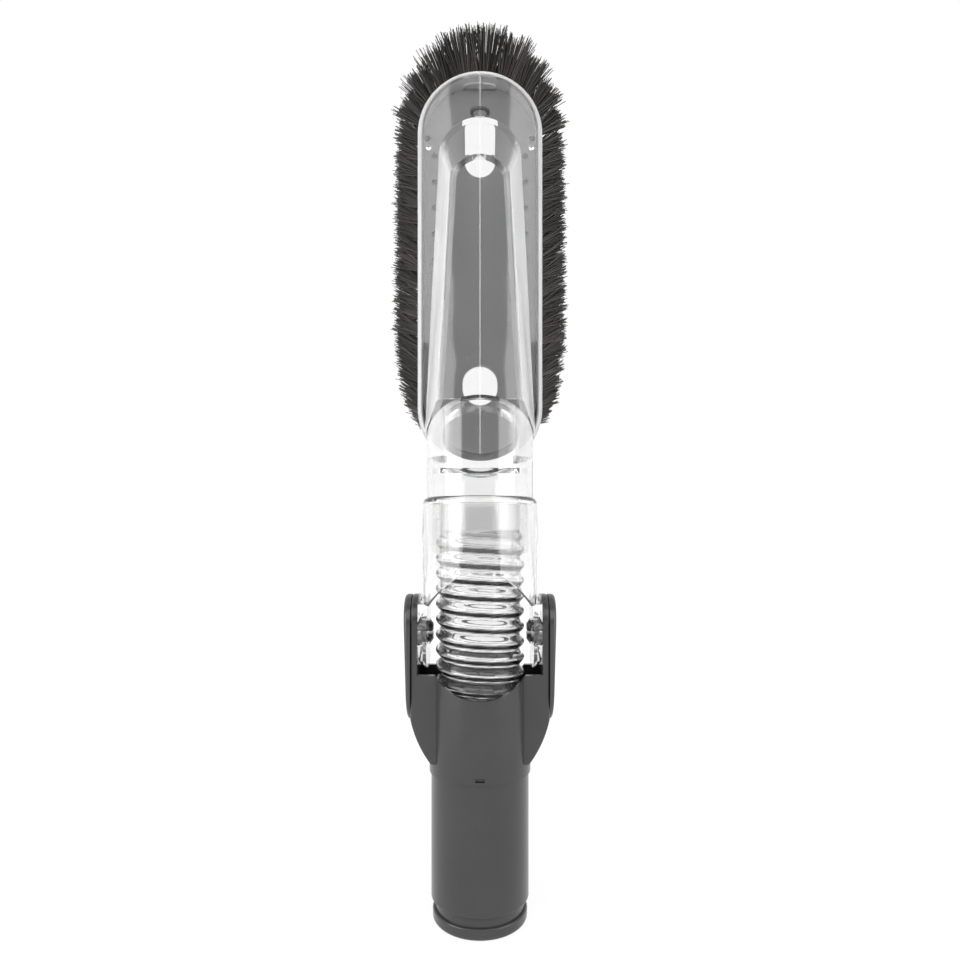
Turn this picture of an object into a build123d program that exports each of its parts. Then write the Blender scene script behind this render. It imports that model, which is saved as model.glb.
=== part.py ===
from build123d import *
import os
from math import cos, pi, sin

# Flexible vacuum brush. X runs across the brush, Y from the clear cover towards the bristles, and Z up
# the spigot's axis from its lower end. Lengths are in millimetres.

# Fits
slip_gap = 0.1
pin_gap = 0.06
side_gap = 0.3

# Spigot tube: plain sleeve, groove and lip below, thin stem above inside the yoke
spigot_radius = 16.0
spigot_bore_radius = 13.2
sleeve_length = 48.5
lip_radius = 15.5
lip_height = 4.0
lip_round = 1.4
groove_radius = 14.6
groove_height = 3.3
groove_round = 0.6
stem_radius = 14.9
stem_length = 10.0
snap_width = 2.6
snap_height = 1.1
snap_lift = 1.6

# Hinge
pivot_height = 93.7
pin_radius = 3.5
barb_radius = 4.3
barb_length = 1.2
barb_tip_radius = 2.6
pin_slit = 0.9
detent_count = 18
detent_inner_radius = 5.6
detent_outer_radius = 7.4
detent_lift = 0.5
detent_width = 0.8

# Head arms
arm_half_gap = 16.8
arm_thickness = 2.9
arm_end_radius = 11.8
arm_half_depth = 9.4
arm_bevel = 1.6

# Yoke: barrel, two flared wings and two ears
barrel_radius = 16.6
ear_thickness = 2.2
ear_top_rise = 12.3
ear_half_depth = 9.0
ear_round = 8.4
wing_wall = 1.8
wing_spread_height = 18.2
wing_foot_rise = 4.0
wing_foot_sink = 0.8
wing_bulge = 0.75
wing_edge_round = 0.9
shoulder_front_drop = 13.0
shoulder_back_drop = 12.4
scoop_radius = 19.5
cavity_floor_rise = 6.0

# Pivot caps: long pads outside the ears
cap_thickness = 2.3
cap_taper = 1.1
cap_half_depth = 9.6
cap_tail_drop = 28.7
cap_edge_round = 1.1

# Hose and its cuffs
hose_bore_radius = 12.7
hose_wall = 0.7
rib_height = 1.1
rib_pitch = 5.0
rib_base_width = 3.4
rib_crest_width = 1.7
cuff_lip = 2.0
lower_cuff_height = 10.0
upper_cuff_drop = 18.0
upper_cuff_wall = 0.9
upper_seat_length = 5.0

# Shroud and neck of the head
neck_radius = 17.5
neck_wall = 1.8
shroud_height = 43.8
shroud_top_radius = 18.6
shroud_mouth_radius = 19.8
shroud_mouth_rise = 9.3
shroud_wall = 1.8
shroud_roof = 2.2
shroud_round = 1.8
arch_rise = 20.6
arch_foot_rise = 8.2
neck_end_slope = 0.68
neck_cap_drop = 2.4
throat_overlap = 3.5

# Dish and spine of the clear cover
cover_wall = 1.8
dish_half_width = 20.5
dish_face = -2.0
dish_depth = 9.0
dish_edge_round = 1.6
toe_rise = 163.5
heel_rise = 73.3
spine_rise = 63.8
spine_foot_half_width = 18.1
spine_toe_half_width = 13.4
spine_toe_start = 92.5
spine_toe_rise = 12.0
ridge_foot_half_width = 13.7
ridge_toe_half_width = 9.3
ridge_toe_start = 81.5
ridge_toe_rise = 8.0
ridge_foot_height = 14.7
ridge_toe_height = 6.5
ridge_round = 2.0
gate_half_width = 2.9
gate_half_height = 1.6
gate_depth = 0.9
gate_rise = 6.6
peg_radius = 1.0
peg_half_span = 17.2
peg_drop = 1.7

# Brush plate
plate_heel_rise = 77.6
plate_floor = 2.2
plate_rail_depth = 5.0
plate_rail_bevel = 4.0
plate_lip = 0.3
recess_half_width = 12.4
slot_half_width = 5.1
toe_slot_length = 21.4
toe_slot_drop = 1.2
heel_slot_half_width = 5.9
heel_slot_length = 13.6
heel_slot_lift = 4.2
clip_half_width = 5.3
clip_height = 2.2
clip_reach = 1.3
pip_radius = 1.0
pip_depth = 0.8
pip_pitch = 8.7
pip_count = 9
pip_inset = 3.4
pip_shift = 3.5
pocket_half_span = 9.9
pocket_width = 1.3
pocket_length = 4.4
pocket_offset = 23.0

# Bristle tufts
tuft_count = 46
hole_radius = 1.2
hole_depth = 3.4
tuft_radius = 1.05
tuft_tip_radius = 1.8
tuft_sides = 6
heel_turn = 0.6
tuft_length = 19.8
toe_tuft_length = 33.5
outer_splay = 13.0
outer_rake = 12.0
outer_sink = 13.0
outer_lead = 0.25
inner_row_half_width = 14.8
inner_splay = 8.0
inner_rake = 11.0
inner_sink = 18.0
inner_lead = 0.75
heel_rake_share = 0.8
heel_splay_share = 0.5
splay_run = 30.0
toe_flatness = 0.55
anchor_height = 0.8
anchor_thickness = 0.4

# Heights and places that follow from the sizes above
stem_top = sleeve_length + stem_length
ear_inner = arm_half_gap + arm_thickness + side_gap
ear_outer = ear_inner + ear_thickness
ear_top = pivot_height + ear_top_rise
cap_outer = ear_outer + cap_thickness
barrel_bore = stem_radius + slip_gap
tube_radius = hose_bore_radius + hose_wall
seat_radius = tube_radius + slip_gap
neck_bore = neck_radius - neck_wall
shroud_top = pivot_height + shroud_height
shroud_mouth = pivot_height + shroud_mouth_rise
lower_cuff_top = stem_top + lower_cuff_height
hose_bottom = stem_top + cuff_lip
upper_cuff_bottom = shroud_top - upper_cuff_drop
upper_cuff_top = shroud_top - shroud_roof
hose_top = upper_cuff_top - side_gap
toe_centre = pivot_height + toe_rise
heel_centre = pivot_height + heel_rise
spine_foot = pivot_height + spine_rise
plate_heel_centre = pivot_height + plate_heel_rise
toe_slot_centre = toe_centre - toe_slot_drop
heel_slot_centre = plate_heel_centre + heel_slot_lift
rim = dish_face + dish_depth
plate_half_width = dish_half_width - cover_wall - slip_gap
plate_top = rim - plate_floor
rail_face = rim + plate_rail_depth
rail_half_width = dish_half_width + plate_lip
neck_cap = plate_heel_centre - rail_half_width - neck_cap_drop
reach = 400.0

os.makedirs("parts", exist_ok=True)


# Spigot tube: turned profile with the lip and groove at the wand's end, and a stem that the yoke sits on.
with BuildPart() as spigot_tube:
    with BuildSketch(Plane.XZ):
        with BuildLine():
            Polyline(
                (spigot_bore_radius, 0),
                (lip_radius, 0),
                (lip_radius, lip_height),
                (groove_radius, lip_height),
                (groove_radius, lip_height + groove_height),
                (spigot_radius, lip_height + groove_height),
                (spigot_radius, sleeve_length),
                (stem_radius, sleeve_length),
                (stem_radius, stem_top),
                (spigot_bore_radius, stem_top),
                close=True,
            )
        make_face()
    revolve(axis=Axis.Z)
    # Rounded lip end, and softer rounds on both sides of the groove
    rims = spigot_tube.edges().filter_by(GeomType.CIRCLE).group_by(Axis.Z)
    fillet(rims[0].sort_by(SortBy.RADIUS)[-1], lip_round)
    rims = spigot_tube.edges().filter_by(GeomType.CIRCLE)
    groove_rims = rims.filter_by_position(Axis.Z, lip_height, lip_height + groove_height)
    fillet(groove_rims.filter_by(lambda e: e.radius > groove_radius + slip_gap), groove_round)
    # Snap tab that shows in the yoke's window
    with Locations((0, -stem_radius, sleeve_length + snap_lift)):
        Box(snap_width, barrel_radius - stem_radius, snap_height)
spigot_tube.part.label = "spigot_tube"
export_step(spigot_tube.part, "parts/spigot_tube.step")


# Yoke: wings and ears cut from one front outline, the barrel through them, then the fork opened.
spread_top = sleeve_length + wing_spread_height
wing_foot = sleeve_length + wing_foot_rise
wing_foot_width = barrel_radius - wing_foot_sink
with BuildPart() as yoke:
    with BuildSketch(Plane.XZ):
        with BuildLine():
            Polyline((0, ear_top), (ear_outer, ear_top), (ear_outer, spread_top))
            sweep_middle = (
                (ear_outer + wing_foot_width) / 2 + wing_bulge,
                (spread_top + wing_foot) / 2 - wing_bulge / 2,
            )
            ThreePointArc((ear_outer, spread_top), sweep_middle, (wing_foot_width, wing_foot))
            Polyline((wing_foot_width, wing_foot), (0, wing_foot), (0, ear_top))
        make_face()
        mirror(about=Plane.YZ)
    extrude(amount=ear_half_depth, both=True)
    crown = yoke.edges().filter_by(Axis.X).group_by(Axis.Z)[-1]
    fillet(crown, ear_round)
    flanks = yoke.faces().filter_by(Axis.Y).edges().filter_by(
        lambda e: abs(e.center().X) > barrel_radius
    )
    fillet(flanks, wing_edge_round)
    with BuildSketch(Plane.XY.offset(sleeve_length)):
        Circle(barrel_radius)
    extrude(amount=pivot_height - sleeve_length)
    # Fork gap, a little higher at the back than at the front
    slope = (shoulder_front_drop - shoulder_back_drop) / (2 * ear_half_depth)
    middle_drop = (shoulder_front_drop + shoulder_back_drop) / 2
    with BuildSketch(Plane.YZ):
        Polygon(
            (-barrel_radius * 2, pivot_height - middle_drop - slope * barrel_radius * 2),
            (barrel_radius * 2, pivot_height - middle_drop + slope * barrel_radius * 2),
            (barrel_radius * 2, ear_top + side_gap),
            (-barrel_radius * 2, ear_top + side_gap),
            align=None,
        )
    extrude(amount=ear_inner, both=True, mode=Mode.SUBTRACT)
    # Scoops in the barrel's front and back walls
    with BuildSketch(Plane.XZ):
        with Locations((0, pivot_height)):
            Circle(scoop_radius)
    extrude(amount=barrel_radius * 2, both=True, mode=Mode.SUBTRACT)
    # Hollow of the wings, open to the fork
    cavity_floor = sleeve_length + cavity_floor_rise
    with BuildSketch(Plane.XZ):
        with BuildLine():
            Polyline((0, ear_top), (ear_inner, ear_top), (ear_inner, spread_top))
            inner_middle = (
                (ear_inner + barrel_bore) / 2 + wing_bulge,
                (spread_top + cavity_floor) / 2 - wing_bulge,
            )
            ThreePointArc((ear_inner, spread_top), inner_middle, (barrel_bore, cavity_floor))
            Polyline((barrel_bore, cavity_floor), (0, cavity_floor), (0, ear_top))
        make_face()
        mirror(about=Plane.YZ)
    extrude(amount=ear_half_depth - wing_wall, both=True, mode=Mode.SUBTRACT)
    with BuildSketch(Plane.XY.offset(sleeve_length)):
        Circle(barrel_bore)
    extrude(amount=pivot_height - sleeve_length, mode=Mode.SUBTRACT)
    # Pin holes, with a round recess for the detent teeth on each ear's inner face
    with BuildSketch(Plane.YZ):
        with Locations((0, pivot_height)):
            Circle(pin_radius + pin_gap)
    extrude(amount=cap_outer, both=True, mode=Mode.SUBTRACT)
    with BuildSketch(Plane.YZ):
        with Locations((0, pivot_height)):
            Circle(detent_outer_radius + side_gap)
    extrude(amount=ear_inner + detent_lift + slip_gap, both=True, mode=Mode.SUBTRACT)
    # Snap window at the front of the rim
    with Locations((0, -barrel_radius, sleeve_length + snap_lift)):
        Box(snap_width + 2 * slip_gap, 4 * wing_wall, snap_height + 2 * slip_gap, mode=Mode.SUBTRACT)
yoke.part.label = "yoke"
export_step(yoke.part, "parts/yoke.step")


# Pivot cap: long pad with a split snap pin. The pin's barbs grip behind the head's arm.
cap_top = ear_top
cap_bottom = pivot_height - cap_tail_drop
with BuildPart() as pivot_cap_right:
    with BuildSketch(Plane.YZ.offset(ear_outer)):
        with Locations((0, (cap_top + cap_bottom) / 2)):
            SlotOverall(cap_top - cap_bottom, 2 * cap_half_depth, rotation=90)
    extrude(amount=cap_thickness)
    # Outer face leans in towards its lower end
    with BuildSketch(Plane.XZ):
        Polygon(
            (cap_outer, cap_top),
            (cap_outer - cap_taper, cap_bottom),
            (cap_outer + cap_thickness, cap_bottom),
            (cap_outer + cap_thickness, cap_top),
            align=None,
        )
    extrude(amount=cap_half_depth, both=True, mode=Mode.SUBTRACT)
    fillet(pivot_cap_right.faces().sort_by(Axis.X)[-1].edges(), cap_edge_round)
    barb_face = arm_half_gap - side_gap
    with BuildSketch(Plane.XZ):
        with BuildLine():
            Polyline(
                (ear_outer, pivot_height),
                (ear_outer, pivot_height + pin_radius),
                (barb_face, pivot_height + pin_radius),
                (barb_face, pivot_height + barb_radius),
                (barb_face - barb_length, pivot_height + barb_tip_radius),
                (barb_face - barb_length, pivot_height),
                close=True,
            )
        make_face()
    revolve(axis=Axis((0, 0, pivot_height), (1, 0, 0)))
    with Locations((arm_half_gap - barb_length / 2, 0, pivot_height)):
        Box(arm_thickness + barb_length, 4 * barb_radius, pin_slit, mode=Mode.SUBTRACT)
pivot_cap_right.part.label = "pivot_cap_right"
export_step(pivot_cap_right.part, "parts/pivot_cap_right.step")

with BuildPart() as pivot_cap_left:
    add(pivot_cap_right.part)
    mirror(about=Plane.YZ, mode=Mode.REPLACE)
pivot_cap_left.part.label = "pivot_cap_left"
export_step(pivot_cap_left.part, "parts/pivot_cap_left.step")


# Lower cuff: ring on the stem's end, with a seat for the hose's plain tail.
with BuildPart() as hose_lower_cuff:
    with BuildSketch(Plane.XZ):
        with BuildLine():
            Polyline(
                (hose_bore_radius, stem_top),
                (stem_radius, stem_top),
                (stem_radius, lower_cuff_top),
                (seat_radius, lower_cuff_top),
                (seat_radius, hose_bottom),
                (hose_bore_radius, hose_bottom),
                close=True,
            )
        make_face()
    revolve(axis=Axis.Z)
hose_lower_cuff.part.label = "hose_lower_cuff"
export_step(hose_lower_cuff.part, "parts/hose_lower_cuff.step")


# Hose: thin tube with a left-handed spiral rib, plain at both ends where the cuffs hold it.
rib_bottom = lower_cuff_top + rib_base_width / 2
rib_top = upper_cuff_top - upper_seat_length - rib_base_width / 2
with BuildPart() as hose:
    with BuildSketch(Plane.XY.offset(hose_bottom)):
        Circle(tube_radius)
        Circle(hose_bore_radius, mode=Mode.SUBTRACT)
    extrude(amount=hose_top - hose_bottom)
    with BuildLine():
        spiral = Helix(rib_pitch, rib_top - rib_bottom, tube_radius, center=(0, 0, rib_bottom), lefthand=True)
    with BuildSketch(Plane(origin=spiral @ 0, x_dir=(1, 0, 0), z_dir=spiral % 0)):
        Polygon(
            (-hose_wall / 2, -rib_base_width / 2),
            (rib_height, -rib_crest_width / 2),
            (rib_height, rib_crest_width / 2),
            (-hose_wall / 2, rib_base_width / 2),
            align=None,
        )
    sweep(path=spiral, is_frenet=True)
hose.part.label = "hose"
export_step(hose.part, "parts/hose.step")


# Upper cuff: clear sleeve over the ribbed end, glued under the shroud's roof, gripping the plain tail.
with BuildPart() as hose_upper_cuff:
    cuff_bore = neck_bore - slip_gap - upper_cuff_wall
    with BuildSketch(Plane.XZ):
        with BuildLine():
            Polyline(
                (cuff_bore, upper_cuff_bottom),
                (neck_bore - slip_gap, upper_cuff_bottom),
                (neck_bore - slip_gap, upper_cuff_top),
                (seat_radius, upper_cuff_top),
                (seat_radius, upper_cuff_top - upper_seat_length),
                (cuff_bore, upper_cuff_top - upper_seat_length),
                close=True,
            )
        make_face()
    revolve(axis=Axis.Z)
hose_upper_cuff.part.label = "hose_upper_cuff"
export_step(hose_upper_cuff.part, "parts/hose_upper_cuff.step")


def stadium(half_width, low_centre, high_centre):
    """Upright oval with round ends, centred on the spigot's axis."""
    with Locations((0, (low_centre + high_centre) / 2)):
        SlotCenterToCenter(high_centre - low_centre, 2 * half_width, rotation=90)


def tongue(foot_half_width, toe_half_width, toe_start, toe_rise):
    """Tapered strip with a rounded upper end and a straight foot on the local X axis."""
    with BuildLine() as outline:
        toe_left, toe_right = (-toe_half_width, toe_start), (toe_half_width, toe_start)
        Polyline(toe_left, (-foot_half_width, 0), (foot_half_width, 0), toe_right)
        ThreePointArc(toe_right, (0, toe_start + toe_rise), toe_left)
    make_face(outline.edges())


def slanted_end(shift, run):
    """Side profile beyond the slanted plane where the neck meets the spine, moved up by a shift."""
    front, back = -2 * neck_radius, 2 * neck_radius
    front_end = spine_foot + shift - neck_end_slope * (front - dish_face)
    back_end = spine_foot + shift - neck_end_slope * (back - dish_face)
    with BuildSketch(Plane.YZ) as beyond:
        Polygon((front, front_end), (back, back_end), (back, run), (front, run), align=None)
    extrude(beyond.sketch, amount=2 * neck_radius, both=True, mode=Mode.SUBTRACT)


def spine(wall):
    """Tapered spine between its base on the dish and its ridge, shrunk by a wall for its inside."""
    foot_plane = Plane(origin=(0, dish_face + wall, spine_foot), x_dir=(1, 0, 0), z_dir=(0, -1, 0))
    ridge_run = ridge_toe_start + ridge_toe_rise
    ridge_drop = ridge_foot_height - ridge_toe_height
    ridge_plane = Plane(
        origin=(0, dish_face - ridge_foot_height + wall, spine_foot),
        x_dir=(1, 0, 0),
        z_dir=(0, -ridge_run, ridge_drop),
    )
    foot_widths = (spine_foot_half_width - wall, spine_toe_half_width - wall)
    ridge_widths = (ridge_foot_half_width - wall, ridge_toe_half_width - wall)
    with BuildSketch(foot_plane) as foot:
        tongue(*foot_widths, spine_toe_start, spine_toe_rise - wall)
    with BuildSketch(ridge_plane) as ridge:
        tongue(*ridge_widths, ridge_toe_start, ridge_toe_rise - wall)
    loft([foot.sketch, ridge.sketch], ruled=True)
    slanted_end(wall, 0)


def neck_tube(radius, bottom, shift, cap):
    """Neck cylinder with a slanted end towards the spine and a square end behind the plate."""
    with BuildSketch(Plane.XY.offset(bottom)) as section:
        Circle(radius)
    extrude(section.sketch, amount=toe_centre - bottom)
    slanted_end(shift, reach)
    with BuildSketch(Plane.YZ) as behind:
        Polygon((rim, cap), (2 * neck_radius, cap), (2 * neck_radius, reach), (rim, reach), align=None)
    extrude(behind.sketch, amount=2 * neck_radius, both=True, mode=Mode.SUBTRACT)


# Spine of the clear cover, outside form, with its ridge rounded.
with BuildPart() as spine_form:
    spine(0)
    ridge_edges = spine_form.faces().sort_by(Axis.Y)[0].edges()
    ridge_foot = spine_foot + neck_end_slope * ridge_foot_height + slip_gap
    fillet(ridge_edges.filter_by(lambda e: e.center().Z > ridge_foot), ridge_round)

# Inside of the spine.
with BuildPart() as spine_space:
    spine(cover_wall)

# Throat: round opening from the hose through the shroud's roof and the neck into the spine.
with BuildPart() as throat:
    neck_tube(tube_radius, shroud_top - shroud_roof, throat_overlap, neck_cap - cover_wall)

# Air space inside the clear cover: neck bore, throat, spine and dish joined into one form.
with BuildPart() as air_space:
    neck_tube(neck_bore, shroud_top, -cover_wall, neck_cap - cover_wall)
    add(throat.part)
    add(spine_space.part)
    with BuildSketch(Plane.XZ.offset(-dish_face - cover_wall)):
        stadium(plate_half_width + slip_gap, plate_heel_centre, toe_centre)
    extrude(amount=-dish_depth + cover_wall)

# Neck of the clear cover, outside form.
with BuildPart() as neck:
    neck_tube(neck_radius, shroud_top - shroud_roof, 0, neck_cap)

# Room under the shroud's roof for the hose and its cuff.
with BuildPart() as shroud_room:
    with BuildSketch(Plane.XZ):
        with BuildLine():
            Polyline(
                (0, shroud_mouth - arm_end_radius),
                (shroud_mouth_radius - shroud_wall, shroud_mouth - arm_end_radius),
                (shroud_mouth_radius - shroud_wall, shroud_mouth),
                (shroud_top_radius - shroud_wall, shroud_top - shroud_roof),
                (0, shroud_top - shroud_roof),
                close=True,
            )
        make_face()
    revolve(axis=Axis.Z)
    # Flat sides where the arms stand
    with BuildSketch(Plane.XZ):
        Rectangle(2 * arm_half_gap, 2 * reach)
    extrude(amount=2 * shroud_mouth_radius, both=True, mode=Mode.INTERSECT)

# Hinge arms: flat cheeks with round, bevelled ends below the shroud.
with BuildPart() as arms:
    with BuildSketch(Plane.YZ.offset(arm_half_gap)):
        with Locations((0, pivot_height)):
            Circle(arm_end_radius)
            Rectangle(2 * arm_half_depth, shroud_mouth_rise + side_gap, align=(Align.CENTER, Align.MIN))
    extrude(amount=arm_thickness)
    cheek = arms.faces().sort_by(Axis.X)[-1]
    chamfer(cheek.edges().filter_by(GeomType.CIRCLE), arm_bevel)
    mirror(about=Plane.YZ)

# Clear cover: dish, spine and neck, the shroud round the joint and the two arms, with the air space out.
with BuildPart() as head_cover:
    with BuildSketch(Plane.XZ.offset(-dish_face)):
        stadium(dish_half_width, heel_centre, toe_centre)
    extrude(amount=-dish_depth)
    fillet(head_cover.faces().sort_by(Axis.Y)[0].edges(), dish_edge_round)
    add(spine_form.part)
    add(neck.part)
    with BuildSketch(Plane.XZ) as bell:
        with BuildLine():
            Polyline(
                (0, shroud_mouth),
                (shroud_mouth_radius, shroud_mouth),
                (shroud_top_radius, shroud_top),
                (0, shroud_top),
                close=True,
            )
        make_face()
        fillet(bell.vertices().group_by(Axis.Y)[-1].sort_by(Axis.X)[-1], shroud_round)
    revolve(axis=Axis.Z)
    add(arms.part)
    add(air_space.part, mode=Mode.SUBTRACT)
    add(shroud_room.part, mode=Mode.SUBTRACT)
    # Arched mouths at the front and back of the shroud
    with BuildSketch(Plane.XZ.offset(-2 * shroud_mouth_radius)):
        with BuildLine():
            foot = pivot_height + arch_foot_rise
            apex = pivot_height + arch_rise
            Bezier((-arm_half_gap, foot), (0, 2 * apex - foot), (arm_half_gap, foot))
            low = pivot_height - 2 * arm_end_radius
            Polyline((arm_half_gap, foot), (arm_half_gap, low), (-arm_half_gap, low), (-arm_half_gap, foot))
        make_face()
    extrude(amount=4 * shroud_mouth_radius, mode=Mode.SUBTRACT)
    # Pivot bores, with a ring of detent teeth on each arm's outer face
    with BuildSketch(Plane.YZ):
        with Locations((0, pivot_height)):
            Circle(pin_radius + pin_gap)
    extrude(amount=2 * arm_half_gap, both=True, mode=Mode.SUBTRACT)
    for side in (-1, 1):
        with BuildSketch(Plane.YZ.offset(side * (arm_half_gap + arm_thickness))):
            with Locations((0, pivot_height)):
                with PolarLocations((detent_inner_radius + detent_outer_radius) / 2, detent_count):
                    Rectangle(detent_outer_radius - detent_inner_radius, detent_width)
        extrude(amount=side * detent_lift)
    # Window in the toe wall for the plate's latch, and the moulding gate's mark on the face
    with Locations((0, rim - clip_height, toe_centre + dish_half_width)):
        Box(2 * (clip_half_width + slip_gap), clip_height, 4 * cover_wall, mode=Mode.SUBTRACT)
    with BuildSketch(Plane.XZ.offset(-dish_face)):
        with Locations((0, toe_centre + gate_rise)):
            Ellipse(gate_half_width, gate_half_height)
    extrude(amount=-gate_depth, mode=Mode.SUBTRACT)
    # Pegs that the plate rests on beside the toe
    with BuildSketch(Plane.XZ.offset(-dish_face - cover_wall)):
        with Locations((-peg_half_span, toe_centre - peg_drop), (peg_half_span, toe_centre - peg_drop)):
            Circle(peg_radius)
    extrude(amount=dish_face + cover_wall - plate_top + slip_gap)
head_cover.part.label = "head_cover"
export_step(head_cover.part, "parts/head_cover.step")


def tuft_row(half_width, depth, splay, rake, sink, lead):
    """Seats of one row of tufts from heel to heel round the toe: place, way and length."""
    heel_run = half_width * heel_turn
    side_run = heel_run + toe_centre - plate_heel_centre
    whole = 2 * side_run + pi * half_width
    seats = []
    for number in range(tuft_count):
        along = whole * (number + lead) / tuft_count
        side = -1 if along < whole / 2 else 1
        climb = min(along, whole - along)
        if climb < heel_run:
            turn, height = climb / half_width - heel_turn, plate_heel_centre
        elif climb < side_run:
            turn, height = 0, plate_heel_centre + climb - heel_run
        else:
            turn, height = (climb - side_run) / half_width, toe_centre
        outward = Vector(side * cos(turn), 0, sin(turn))
        toe_share = max(outward.Z, 0) ** 2
        lean = rake * (heel_rake_share + (1 - heel_rake_share) * min(climb / side_run, 1))
        spread = splay * (heel_splay_share + (1 - heel_splay_share) * min(climb / splay_run, 1))
        away = sink * (1 - toe_flatness * toe_share)
        way = (outward * spread + Vector(0, away, lean)).normalized()
        place = outward * half_width + Vector(0, depth, height)
        length = tuft_length + (toe_tuft_length - tuft_length) * toe_share
        seats.append((place, way, length))
    return seats


bevel_half_width = rail_half_width - plate_rail_bevel / 2
bevel_depth = rail_face - plate_rail_bevel / 2
outer_row = tuft_row(bevel_half_width, bevel_depth, outer_splay, outer_rake, outer_sink, outer_lead)
inner_row = tuft_row(inner_row_half_width, rail_face, inner_splay, inner_rake, inner_sink, inner_lead)
all_seats = outer_row + inner_row

# Tuft hole, with its axis on local Z and its mouth in the XY plane.
with BuildPart() as tuft_hole:
    with BuildSketch(Plane.XY.offset(-hole_depth)):
        RegularPolygon(hole_radius, tuft_sides)
    extrude(amount=2 * hole_depth)


# Brush plate: floor plugged into the cover's wall, and a bevelled rail for the tufts round its edge.
with BuildPart() as brush_plate:
    with BuildSketch(Plane.XZ.offset(-rim)):
        stadium(rail_half_width, plate_heel_centre, toe_centre)
    extrude(amount=-plate_rail_depth)
    chamfer(brush_plate.faces().sort_by(Axis.Y)[-1].edges(), plate_rail_bevel)
    with BuildSketch(Plane.XZ.offset(-plate_top)):
        stadium(plate_half_width, plate_heel_centre, toe_centre)
    extrude(amount=-plate_floor)
    with BuildSketch(Plane.XZ.offset(-rail_face)):
        stadium(recess_half_width, plate_heel_centre, toe_centre)
    extrude(amount=plate_rail_depth, mode=Mode.SUBTRACT)
    # Suction slots
    for half_width, length, centre in (
        (slot_half_width, toe_slot_length, toe_slot_centre),
        (heel_slot_half_width, heel_slot_length, heel_slot_centre),
    ):
        with BuildSketch(Plane.XZ.offset(-rail_face)):
            with Locations((0, centre)):
                SlotOverall(length, 2 * half_width, rotation=90)
        extrude(amount=2 * plate_rail_depth, mode=Mode.SUBTRACT)
    # Latch tongue at the toe
    with Locations((0, rim - clip_height, toe_centre + plate_half_width)):
        Box(2 * clip_half_width, clip_height - 2 * slip_gap, 2 * clip_reach)
    # Pips over the tuft holes and pockets beside the spine on the plate's inner face
    with BuildSketch(Plane.XZ.offset(-plate_top)):
        with Locations((0, (toe_centre + plate_heel_centre) / 2 + pip_shift)):
            with GridLocations(2 * (plate_half_width - pip_inset), pip_pitch, 2, pip_count):
                RegularPolygon(pip_radius, tuft_sides)
    extrude(amount=-pip_depth, mode=Mode.SUBTRACT)
    with BuildSketch(Plane.XZ.offset(-plate_top)):
        with Locations((0, (toe_centre + plate_heel_centre) / 2 + pip_shift)):
            with GridLocations(2 * pocket_half_span, 2 * pocket_offset, 2, 2):
                Rectangle(pocket_width, pocket_length)
    extrude(amount=-pip_depth, mode=Mode.SUBTRACT)
    # Tuft holes, each along its own tuft
    with Locations(*[Plane(origin=place, z_dir=way) for place, way, length in all_seats]):
        add(tuft_hole.part, mode=Mode.SUBTRACT)
brush_plate.part.label = "brush_plate"
export_step(brush_plate.part, "parts/brush_plate.step")


def tufts(seats):
    """Tapered bundles that fan out from their holes."""
    root = hole_depth - anchor_height
    bundles = []
    for place, way, length in seats:
        with BuildSketch(Plane(origin=place - way * root, z_dir=way)) as fold:
            RegularPolygon(tuft_radius, tuft_sides)
        with BuildSketch(Plane(origin=place + way * length, z_dir=way)) as tip:
            RegularPolygon(tuft_tip_radius, tuft_sides)
        bundles.append(loft([fold.sketch, tip.sketch], ruled=True, mode=Mode.PRIVATE))
    return bundles


# Bristle tufts of the outer row, on the rail's bevel.
with BuildPart() as bristle_tufts_outer:
    add(tufts(outer_row))
bristle_tufts_outer.part.label = "bristle_tufts_outer"
export_step(bristle_tufts_outer.part, "parts/bristle_tufts_outer.step")

# Bristle tufts of the inner row, on the rail's flat.
with BuildPart() as bristle_tufts_inner:
    add(tufts(inner_row))
bristle_tufts_inner.part.label = "bristle_tufts_inner"
export_step(bristle_tufts_inner.part, "parts/bristle_tufts_inner.step")

# Anchors: short flat wires across the bottom of each hole, which the folded tuft hangs on.
with BuildPart() as tuft_anchors:
    with Locations(*[Plane(origin=place - way * hole_depth, z_dir=way) for place, way, length in all_seats]):
        Box(
            2 * tuft_radius * cos(pi / tuft_sides),
            anchor_thickness,
            anchor_height,
            align=(Align.CENTER, Align.CENTER, Align.MIN),
        )
tuft_anchors.part.label = "tuft_anchors"
export_step(tuft_anchors.part, "parts/tuft_anchors.step")
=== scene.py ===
from math import cos, pi, radians, sin

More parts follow.
